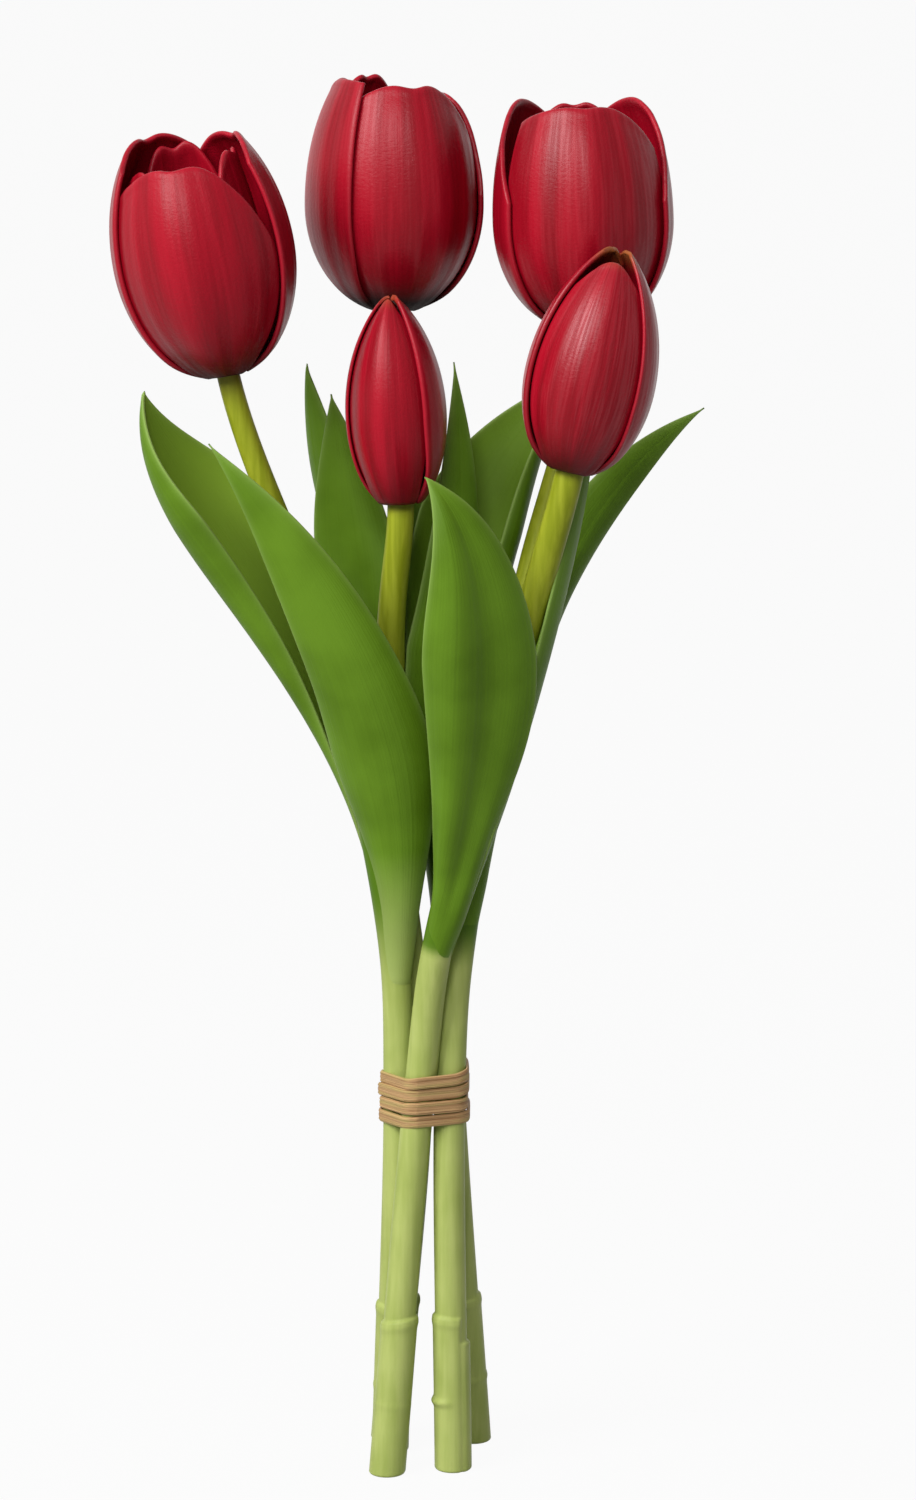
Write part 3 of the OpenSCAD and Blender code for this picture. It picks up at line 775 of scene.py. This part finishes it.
def stem_surface(flower, stem, foot, sheath):
    """Rings of the stem, and the fields that its finish reads. A ring is a circle across the path, and its
    radius is the taper plus the foot's relief. The foot's edge is a quarter circle, the top a half ball."""
    path = stem_path(flower, stem)
    z = np.concatenate([
        np.linspace(FOOT_ROUND, FOOT_TOP, FOOT_RINGS), np.linspace(SHAFT_FROM, WAIST_Z, SHAFT_RINGS)
    ])
    s = np.concatenate([z / WAIST_Z, np.linspace(1, STEM_END, UPPER_RINGS)[1:]])
    centre = along(path, s)
    axis = unit(lerp(np.array([0.0, 0.0, 1.0]), heading(path, s), column(ramp(s, 0, 0.2))))
    sideways = unit(np.cross(axis, [0.0, 1.0, 0.0]))
    turn = np.linspace(0, 360, STEM_SIDES, endpoint=False)
    a = column(np.radians(turn))
    ways = np.cos(a) * sideways[:, None] + np.sin(a) * np.cross(axis, sideways)[:, None]
    r = stem_radius(flower, s)[:, None] + foot_relief(centre[:, 2:], turn, foot)
    rings = centre[:, None] + column(r) * ways
    bend = np.linspace(0, QUARTER, 7)[:-1, None]
    cut = np.array(stem.foot, float) + column(r[0] - FOOT_ROUND * (1 - np.sin(bend))) * ways[0]
    cut[..., 2] = FOOT_ROUND * (1 - np.cos(bend))
    cap = np.linspace(0, QUARTER, 10)[1:-1, None, None]
    ball = np.cos(cap) * (rings[-1] - centre[-1]) + np.sin(cap) * flower.neck_r * axis[-1]
    share = np.concatenate([np.zeros(len(cut)), s, np.full(len(ball), STEM_END)])
    up = along(path, share)[:, 2] - sheath[0]
    fields = {
        "upper": ramp(share, 1.7, 2.6),
        "neck": 0.75 * ramp(share, 3.82, STEM_END),
        # The leaves' green from the sheath up, partly painted shade.
        "sheath": ramp(up, 0, sheath[1]) * (1 - ramp(up, SHEATH_LONG, SHEATH_LONG + SHEATH_FADE)),
    }
    rings = np.concatenate([cut, rings, centre[-1] + ball])
    return rings, {key: np.repeat(numbers, STEM_SIDES) for key, numbers in fields.items()}


print("rings on a stem's foot:", FOOT_RINGS)

# %% [markdown]
# A foot's row says which way the gap looks (0 left, 90 towards the viewer), how far the collar's edge
# slants, and how high the ring is. The sheath table says where a stem starts to take the green of its
# leaves, which is partly painted shade, and over which length.

# %% Stem pieces
FEET = {
    LEFT: Foot(200, 0.6, 0.2),
    BACK: Foot(-20, -0.8, 0.3),
    RIGHT: Foot(174, 0.5, 0.75),
    FRONT: Foot(120, 0, 0.3),
    SIDE: Foot(265, -1.2, 0.12),
}
SHEATHS = {LEFT: (138, 34), BACK: (150, 20), RIGHT: (146, 14), FRONT: (165, 20), SIDE: (153, 4)}
stems = []
for body, stem in STEMS.items():
    name = body.split("_")[0] + "_stem"
    rings, fields = stem_surface(FLOWERS[body], stem, FEET[body], SHEATHS[body])
    points, faces = tube(rings)
    values = {key: np.concatenate([numbers, numbers[[0, -1]]]) for key, numbers in fields.items()}
    stems.append(piece(name + "_skin", points, faces, STEM_SKIN, "bunch", name, values))
print("stems:", len(stems))

# %% [markdown]
# ## Leaves
# A tulip's leaf wraps its stem at the base and opens into a long boat. It could be a flat outline bent by
# modifiers, but then its place would have to be found by trial. Here it is a sheet rolled about its
# midrib: the midrib is a Bezier curve between given points, and each line across it is an arc whose
# radius is the half-width divided by the roll angle. The two sides have rolls of their own. Above its
# base a leaf may also twist about the midrib and have soft folds along it, and its edges ripple a little.

# %% Leaf midrib
Leaf = namedtuple(
    "Leaf",
    "stem height facing bend_1 bend_2 tip tip_facing half widest taper roll tip_roll ripple "
    "lift pale twist folds inside",
    defaults=[0, 0, 0, (), 0.4],
)
LEAF_T = 1.0
SHEATH_GRIP = 0.35
SHEATH_ROLL = 80.0
SHEATH_PART = 0.06


def sheath_place(leaf):
    """Middle of the stem at the leaf's base, and the radius at which the leaf wraps it."""
    flower, stem = FLOWERS[leaf.stem], STEMS[leaf.stem]
    at = np.interp([leaf.height], [WAIST_Z, stem.low_bend[2], stem.high_bend[2]], [1, 2, 3])
    return along(stem_path(flower, stem), at)[0], (stem_radius(flower, at) + LEAF_T - SHEATH_GRIP)[0]


def leaf_midrib(leaf, v):
    """A cubic Bezier curve from the sheath to the tip, and the directions inward and across along it."""
    middle, sheath_r = sheath_place(leaf)
    root = middle + facing(leaf.facing) * sheath_r
    p, q, r = (np.array(point, float) for point in (leaf.bend_1, leaf.bend_2, leaf.tip))
    w = 1 - v
    midrib = root * w**3 + 3 * p * v * w**2 + 3 * q * v**2 * w + r * v**3
    axis = unit((p - root) * w**2 + 2 * (q - p) * v * w + (r - q) * v**2)
    inward = lerp(-facing(leaf.facing), np.array([0, 0, leaf.lift]) - facing(leaf.tip_facing), v)
    inward = unit(inward - axis * np.sum(inward * axis, -1, keepdims=True))
    twist = np.radians(leaf.twist) * ramp(v, SHEATH_PART, SHEATH_PART + 0.2)
    inward = inward * np.cos(twist) + np.cross(axis, inward) * np.sin(twist)
    return midrib, inward, np.cross(inward, axis)


print("a leaf's base wraps its stem by", 2 * SHEATH_ROLL, "degrees")

# %% Leaf surface
LEAF_GRID = (121, 45)
LEAF_LENGTH = 160.0
LEAF_TIP = 0.35
CURL_R = 1.5
SUNK = 0.75
GROOVE_DEEP, GROOVE_HALF = 0.12, 0.06
RIPPLES, RIPPLE_SHIFT = 9.4, 2.2
EDGE_FADE = 0.7
PALE_RISE = 3.0


def leaf_half_width(leaf, v):
    """Half the width: an S-curve from the sheath's to the widest place, then a fall by a power of v."""
    sheath = sheath_place(leaf)[1] * np.radians(SHEATH_ROLL)
    swell = lerp(sheath, leaf.half, ramp(v, SHEATH_PART, leaf.widest))
    fall = leaf.half * (1 - np.clip((v - leaf.widest) / (1 - leaf.widest), 0, 1) ** leaf.taper)
    return np.maximum(np.where(v < leaf.widest, swell, fall), LEAF_TIP)


def leaf_depth(leaf, u, v):
    """How deep the sheet's middle lies under the rolled surface: half its thickness, the base's sinking, a
    groove along the midrib, and a ripple that grows with u squared, less the bell-shaped folds."""
    sunk = SUNK * (1 - ramp(v, 0, 0.1))
    groove = GROOVE_DEEP * bump(u, GROOVE_HALF) * ramp(v, 0.1, 0.3) * (1 - ramp(v, 0.85, 1))
    ripple = leaf.ripple * u**2 * np.sin(RIPPLES * v + RIPPLE_SHIFT * np.sign(u)) * ramp(v, 0.3, 0.6)
    folds = sum(high * bump(u - at, wide) for at, high, wide in leaf.folds)
    folds = folds * ramp(v, 0, 0.3) * ramp(1 - v, 0, 0.4)
    return LEAF_T / 2 + sunk + groove - folds + ripple * ramp(1 - v, 0, 0.2)


def leaf_surface(leaf):
    """Both faces of a leaf on a grid, and the fields that its finish reads. Across the midrib a point lies at
    the angle u times half-width over radius, on an arc that bends inward."""
    v = np.linspace(0, 1, LEAF_GRID[0])[:, None]
    u = clustered(LEAF_GRID[1])[None, :]
    midrib, inward, across = (rows[:, None] for rows in leaf_midrib(leaf, v))
    half_width = leaf_half_width(leaf, v)
    middle, end = by_side(u, leaf.roll), by_side(u, leaf.tip_roll)
    roll = np.radians(lerp(SHEATH_ROLL, middle, ramp(v, 0, 0.5)) + (end - middle) * ramp(v, 0.5, 1))
    r = np.maximum(half_width / roll, CURL_R)
    a = u * half_width / r
    inset = np.minimum((1 - np.abs(u)) * half_width, LEAF_LENGTH * np.minimum(v, 1 - v))
    half, depth = round_rim(inset, LEAF_T), leaf_depth(leaf, u, v)
    faces = []
    for d in (depth - half, depth + half):
        out, along_arc = r - (r - d) * np.cos(a), (r - d) * np.sin(a)
        faces.append(midrib + column(out) * inward + column(along_arc) * across)
    fields = {
        "u": u + 0 * v,
        "v": v + 0 * u,
        "rim": np.exp(-inset / EDGE_FADE),
        "pale": PALE_RISE * np.clip(leaf.pale - v, 0, None) + 0 * u,
    }
    return faces, fields


print("points on a leaf's face:", LEAF_GRID[0] * LEAF_GRID[1])

# %% [markdown]
# Two leaves grow on each stem. A row gives the height of the base and the way it faces, the midrib's two
# bends and tip, and the way the tip faces. Then comes the form: half-width, where it is widest, its taper,
# the rolls of its two sides in degrees, at the middle and at the tip, and its ripple. The leaf nearest the
# viewer has a twist and two folds, each with its place in u, its height and its width.

# %% Leaf pieces
LEAVES = {
    "left_stem_leaf_1": Leaf(
        LEFT, 140, -10, (2, -14, 200), (-13, -34, 252), (-54, -24, 300), -12,
        17, 0.42, 1.6, (50, 50), (35, 35), 0.8, pale=0.24,
    ),
    "left_stem_leaf_2": Leaf(
        LEFT, 140, 170, (-3, 5, 229), (-79, 0, 269), (-73, -6, 313), -128,
        23, 0.72, 1.4, (30, 170), (40, 90), 0.6, lift=0.6, pale=0.24, inside=1,
    ),
    "back_stem_leaf_1": Leaf(
        BACK, 198, -140, (-9, 33, 215), (-26, 46, 262), (-29, 42, 316), -40,
        14, 0.55, 2, (60, 60), (50, 50), 0.6,
    ),
    "back_stem_leaf_2": Leaf(
        BACK, 150, 165, (15, 28, 188), (10, 54, 240), (-2, 60, 290), 170,
        14, 0.55, 2, (55, 55), (40, 40), 0.8,
    ),
    "right_stem_leaf_1": Leaf(
        RIGHT, 158, 15, (25, 0, 212), (39, 4, 279), (85, 14, 306), 15,
        9, 0.6, 1.8, (60, 60), (30, 30), 0.8,
    ),
    "right_stem_leaf_2": Leaf(
        RIGHT, 158, 180, (17, 19, 199), (10, 28, 263), (49, 31, 314), 160,
        23.5, 0.72, 1.5, (140, 35), (130, 35), 0.6, lift=0.4,
    ),
    "front_stem_leaf_1": Leaf(
        FRONT, 172, -135, (-9, 12, 209), (-14, 11.5, 264), (-21, 14, 310), 0,
        14, 0.6, 1.6, (10, 35), (20, 30), 0.5,
    ),
    "front_stem_leaf_2": Leaf(
        FRONT, 172, 45, (14, -4, 205), (19, 4, 268), (14, 10, 319.5), 20,
        15, 0.5, 1, (20, 55), (30, 30), 0.5,
    ),
    "side_stem_leaf_1": Leaf(
        SIDE, 154, -20, (21, -24, 196), (33, -54, 268), (6, -40, 293), 10,
        18.2, 0.56, 1.5, (60, 24), (30, 20), 0.6, twist=24, folds=((-0.5, 1.7, 0.34), (0.16, -1.9, 0.32)),
    ),
    "side_stem_leaf_2": Leaf(
        SIDE, 154, 150, (24, -12, 195), (51, -16, 258), (53, -9, 302), 80,
        15, 0.55, 2, (70, 70), (45, 45), 0.5,
    ),
}
leaves = []
for name, leaf in LEAVES.items():
    (outer, inner), fields = leaf_surface(leaf)
    points, faces = sheet(outer, inner)
    values = {key: both_faces(numbers) for key, numbers in fields.items()}
    values["seed"] = np.full(len(points), draw.uniform(0, STREAK_SEEDS))
    # The inner face's own points come after those of the outer face.
    # A lighter inner face, partly painted light.
    values["inside"] = leaf.inside * (np.arange(len(points)) >= outer[..., 0].size)
    leaves.append(piece(name + "_skin", points, faces, LEAF_SKIN, "bunch", name, values))
print("leaves:", len(leaves))

# %% [markdown]
# ## The tie
# One strand of raffia goes four times round the five stems: on an arc round each stem, then straight
# across to the next. A bevelled curve would give it an even section. Real raffia is a flat fibre that
# wavers and lies loose in places, so its section here is a flat rounded bar with ridges, carried along
# that path.

# %% The tie
WAIST_ORDER = (SIDE, RIGHT, BACK, FRONT, LEFT)
ARC_PART = 0.66
RAFFIA_W, RAFFIA_T = 3.5, 0.9
RAFFIA_TURNS, TURN_GAP = 4, 0.3
WRAP_START, WRAP_RINGS, WRAP_SIDES = 86, 150, 44
FIBRE_LENGTH = 90
GRIP = 0.1


def wound(degrees, out):
    """The strand's path seen from above: round each stem at its radius plus out, straight to the next one."""
    stops = np.stack([waist_point(STEMS[name]) for name in WAIST_ORDER])
    count = len(stops)
    share = (degrees - STEMS[SIDE].waist_turn) / (360 / count) + 0.5
    i = np.floor(share).astype(int)
    move = column(ramp(share - i, ARC_PART, 1))
    a = np.radians(degrees)
    arm = np.stack([np.cos(a), np.sin(a), 0 * a], -1)
    return lerp(stops[i % count], stops[(i + 1) % count], move) + column(WAIST_R + out) * arm


def rounded_bar(count, power):
    """A closed outline with sides of -1 to 1: sine and cosine pushed outwards by a power below 1."""
    a = np.linspace(0, 2 * np.pi, count, endpoint=False)
    x, y = np.cos(a), np.sin(a)
    return np.sign(x) * np.abs(x) ** power, np.sign(y) * np.abs(y) ** power


def wrap_surface():
    """Rings of the wound strand. Sine waves along it sway its height, width and looseness, and waves across
    it raise ridges on its outer side."""
    turn = np.linspace(0, RAFFIA_TURNS, WRAP_RINGS * RAFFIA_TURNS + 1)[:, None]
    degrees = WRAP_START + 360 * turn
    sway = 0.26 * np.sin(5.3 * turn + 1) + 0.16 * np.sin(14.1 * turn)
    lift = (RAFFIA_W + TURN_GAP) * (turn - RAFFIA_TURNS / 2) + sway
    loose = 0.4 * (1 + np.sin(9.1 * turn + 0.6))
    width = RAFFIA_W / 2 * (1 + 0.05 * np.sin(8.7 * turn))
    up, out = rounded_bar(WRAP_SIDES, 0.45)
    ridges = 0.1 * np.cos(3.2 * np.pi * up) + 0.05 * np.sin(7.7 * np.pi * up)
    stand = RAFFIA_T / 2 - GRIP + RAFFIA_T / 2 * out + np.where(out > 0.5, ridges, 0)
    rings = wound(degrees + 0 * up, stand + loose)
    rings[..., 2] += lift + width * up
    return rings, {"u": up + 0 * turn, "v": FIBRE_LENGTH * turn + 0 * up}


rings, fields = wrap_surface()
points, faces = tube(rings)
values = {key: np.append(numbers.ravel(), [0, 0]) for key, numbers in fields.items()}
piece("raffia_wrap_strand", points, faces, RAFFIA, "bunch", "raffia_wrap", values)
print("raffia turns:", RAFFIA_TURNS)

# %% [markdown]
# The knot at the back is the same fibre, twisted rounder, on a closed loop with three crossings. A
# modelled knot needs care at each crossing. This one is a known curve whose strands pass over and under
# by themselves.

# %% The knot
KNOT_SIZE = 1.5
KNOT_DEPTH = 0.9
KNOT_STRAND, KNOT_FLAT = 0.75, 0.85
KNOT_TURN, KNOT_OUT = 74.0, 1.3
KNOT_RINGS, KNOT_SIDES = 180, 20
KNOT_FIBRE = 6


def knot_surface():
    """A loop with three crossings: sin a + 2 sin 2a across, sin 3a in depth, and cos a - 2 cos 2a up."""
    a = np.linspace(0, 2 * np.pi, KNOT_RINGS, endpoint=False)
    wide, deep, tall = np.sin(a) + 2 * np.sin(2 * a), np.sin(3 * a), np.cos(a) - 2 * np.cos(2 * a)
    place = np.stack([wide, KNOT_DEPTH * deep, tall], -1)
    axis = unit(np.roll(place, -1, 0) - np.roll(place, 1, 0))
    sideways = unit(np.cross(axis, [0.0, 1.0, 0.0]))
    x, y = rounded_bar(KNOT_SIDES, 0.7)
    ways = column(x) * sideways[:, None] + KNOT_FLAT * column(y) * np.cross(axis, sideways)[:, None]
    spot = wound(np.array([KNOT_TURN]), np.array([RAFFIA_T + KNOT_OUT]))
    rings = spot + KNOT_SIZE * place[:, None] + KNOT_STRAND * ways
    return rings, {"u": x + 0 * column(a), "v": KNOT_FIBRE * column(a) + 0 * x}


rings, fields = knot_surface()
points, faces = tube(rings, ends=False)
values = {key: numbers.ravel() for key, numbers in fields.items()}
piece("raffia_knot_strand", points, faces, RAFFIA, "bunch", "raffia_knot", values)
print("knot strand:", 2 * KNOT_STRAND, "mm thick")

# %% [markdown]
# ## Solids that stay
# Cores, pistils and wires are rigid and right as they are, so their own solids stay and only get a
# finish.

# %% Solids that stay
KEPT = {"_core": CORE_BROWN, "_pistil": PISTIL_YELLOW, "_wire": WIRE_STEEL}
for ending, material in KEPT.items():
    kept = [node for name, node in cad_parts.items() if name.endswith(ending)]
    for node in kept:
        node.data.materials.clear()
        node.data.materials.append(material)
    print(ending, "solids:", len(kept))

# %% [markdown]
# ## Floor and light
# The photograph is a white studio shot, lit from the upper left. More light would make the background
# white, but the object pale with it. So the floor and the world are white only where the camera, a
# reflection or a see-through ray meets them, and light the object at a plain level otherwise. The floor
# keeps a trace of the shadow. A soft box stands at the left, and a second, weaker one nearly in front
# draws the gloss on the petals.

# %% Floor and light
AMBIENT = 0.16
FLOOR_WHITE = 0.95
FLOOR_HALF = 30.0
WHITE, GREY = (1.0, 1.0, 1.0, 1.0), (0.4, 0.4, 0.4, 1.0)
SEEN_RAYS = ("Is Camera Ray", "Is Glossy Ray", "Is Transmission Ray")


def seen_directly(flow):
    """1 for camera, mirror and see-through rays, 0 for the rays that light a surface."""
    camera, mirror, clear = (flow.node("ShaderNodeLightPath", output=name) for name in SEEN_RAYS)
    return 1.0 - (1.0 - camera) * (1.0 - mirror) * (1.0 - clear)


world = bpy.data.worlds.new("studio")
world.use_nodes = True
bpy.context.scene.world = world
background = world.node_tree.nodes["Background"]
background.inputs["Color"].default_value = WHITE
strength = AMBIENT + (1.0 - AMBIENT) * seen_directly(Flow(world.node_tree))
world.node_tree.links.new(strength.socket, background.inputs["Strength"])

floor_paint = bpy.data.materials.new("floor_paint")
floor_paint.use_nodes = True
flow = Flow(floor_paint.node_tree)
matt = flow.node("ShaderNodeBsdfDiffuse", None, {"Color": GREY})
white = flow.node("ShaderNodeEmission", None, {"Color": WHITE, "Strength": 1.0})
shown = flow.node("ShaderNodeMixShader", None, {0: seen_directly(flow) * FLOOR_WHITE, 1: matt, 2: white})
output = floor_paint.node_tree.nodes["Material Output"]
floor_paint.node_tree.links.new(shown.socket, output.inputs["Surface"])

floor_mesh = bpy.data.meshes.new("floor")
corners = FLOOR_HALF * np.array([(-1, -1, 0), (1, -1, 0), (1, 1, 0), (-1, 1, 0)])
floor_mesh.from_pydata(corners.tolist(), [], [(0, 1, 2, 3)])
floor_mesh.materials.append(floor_paint)
floor = bpy.data.objects.new("floor", floor_mesh)
bpy.context.scene.collection.objects.link(floor)
print("floor:", 2 * FLOOR_HALF, "m square")

# %% Soft boxes
AIM = Vector((0.0, 0.0, 0.25))


def soft_box(name, azimuth, elevation, distance, size, watts):
    """A square lamp that looks at the heads. Azimuth 0 is on the viewer's side, and -90 at the left."""
    a, e = np.radians(azimuth), np.radians(elevation)
    way = Vector((np.sin(a) * np.cos(e), -np.cos(a) * np.cos(e), np.sin(e)))
    lamp = bpy.data.lights.new(name, "AREA")
    lamp.size = size
    lamp.energy = watts
    made = bpy.data.objects.new(name, lamp)
    made.location = AIM + way * distance
    made.rotation_euler = way.to_track_quat("Z", "Y").to_euler()
    bpy.context.scene.collection.objects.link(made)


soft_box("key_box", azimuth=-50, elevation=36, distance=1.5, size=0.8, watts=25)
soft_box("front_box", azimuth=-6, elevation=34, distance=2.0, size=0.6, watts=16)
print("lights:", [light.name for light in bpy.data.lights])

# %% [markdown]
# ## Camera
# The photograph looks at the bunch from ten degrees above the horizon with a long lens. A long lens keeps
# the flowers at the front and at the back about the same size.

# %% Camera
LENS = 113.95
SENSOR = 36.0
DISTANCE = 1.35
FAR = 100.0
ELEVATION = np.radians(10.0)
TARGET = Vector(to_frame(np.array([15.0, 0.0, 210.0])))
back = Vector((0.0, -np.cos(ELEVATION), np.sin(ELEVATION)))
camera = bpy.data.objects.new("camera", bpy.data.cameras.new("camera"))
camera.data.lens = LENS
camera.data.sensor_width = SENSOR
camera.data.clip_end = FAR
camera.location = TARGET + back * DISTANCE
camera.rotation_euler = back.to_track_quat("Z", "Y").to_euler()
bpy.context.scene.collection.objects.link(camera)
bpy.context.scene.camera = camera
bpy.context.scene.view_settings.view_transform = "Standard"
print("camera at", [round(x, 3) for x in camera.location])

# %% [markdown]
# ## Last update

# %% Last update
bpy.context.view_layer.update()
